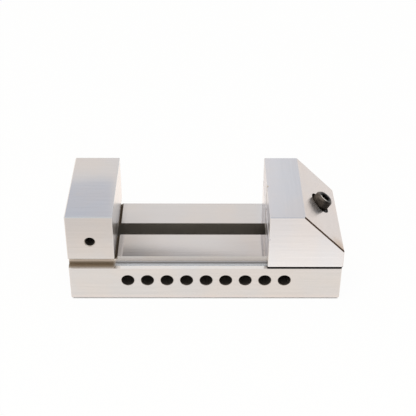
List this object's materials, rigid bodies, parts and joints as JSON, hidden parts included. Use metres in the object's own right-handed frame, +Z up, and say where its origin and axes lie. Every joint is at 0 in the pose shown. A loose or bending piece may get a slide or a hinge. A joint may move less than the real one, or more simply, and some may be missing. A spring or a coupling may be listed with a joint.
{
  "type": "toolmakers vise",
  "caption": "Ground steel toolmakers vise with a fixed jaw, a sliding jaw locked by a leaning cap screw and cross nut, a row of cross holes and clamping ledges.",
  "frame": {"origin": "centre of the vise body's underside, on the plane that it rests on", "axes": "+X from the fixed jaw to the sliding jaw, along the bed; +Y away from the side with the tapped stop hole; +Z up"},
  "size_m": [0.1906, 0.076, 0.071],
  "materials": {
    "ground_steel": "surface ground, with fine parallel grinding lines",
    "hardened_steel": "turned and hardened, slightly dark",
    "black_oxide": "black oxide, lightly oiled"
  },
  "bodies": {
    "vise": {"vise_body": "ground_steel"},
    "sliding_jaw": {"movable_jaw": "ground_steel", "conical_seat": "hardened_steel", "keeper_plate": "hardened_steel", "front_keeper_screw": "black_oxide", "rear_keeper_screw": "black_oxide"},
    "swivel": {"ball_washer": "hardened_steel"},
    "screw": {"clamp_screw": "black_oxide"},
    "nut": {"cross_nut": "hardened_steel"}
  },
  "joints": [
    {"name": "jaw_slide", "type": "slide", "parent": "vise", "child": "sliding_jaw", "axis": [1, 0, 0], "range_m": [-0.1059, 0]},
    {"name": "screw_lean", "type": "hinge", "parent": "sliding_jaw", "child": "swivel", "pos_m": [0.08482, 0, 0.06198], "axis": [0, 1, 0], "range_deg": [0, 5.5]},
    {"name": "screw_turn", "type": "hinge", "parent": "swivel", "child": "screw", "pos_m": [0.08482, 0, 0.06198], "axis": [-0.5592, 0, -0.829], "range_deg": [0, 540]},
    {"name": "nut_lift", "type": "slide", "parent": "swivel", "child": "nut", "axis": [0.5592, 0, 0.829], "range_m": [0, 0.00187]}
  ],
  "couplings": [
    {"joint": "screw_turn", "follows": "nut_lift", "rad_per_m": 5026.5}
  ]
}
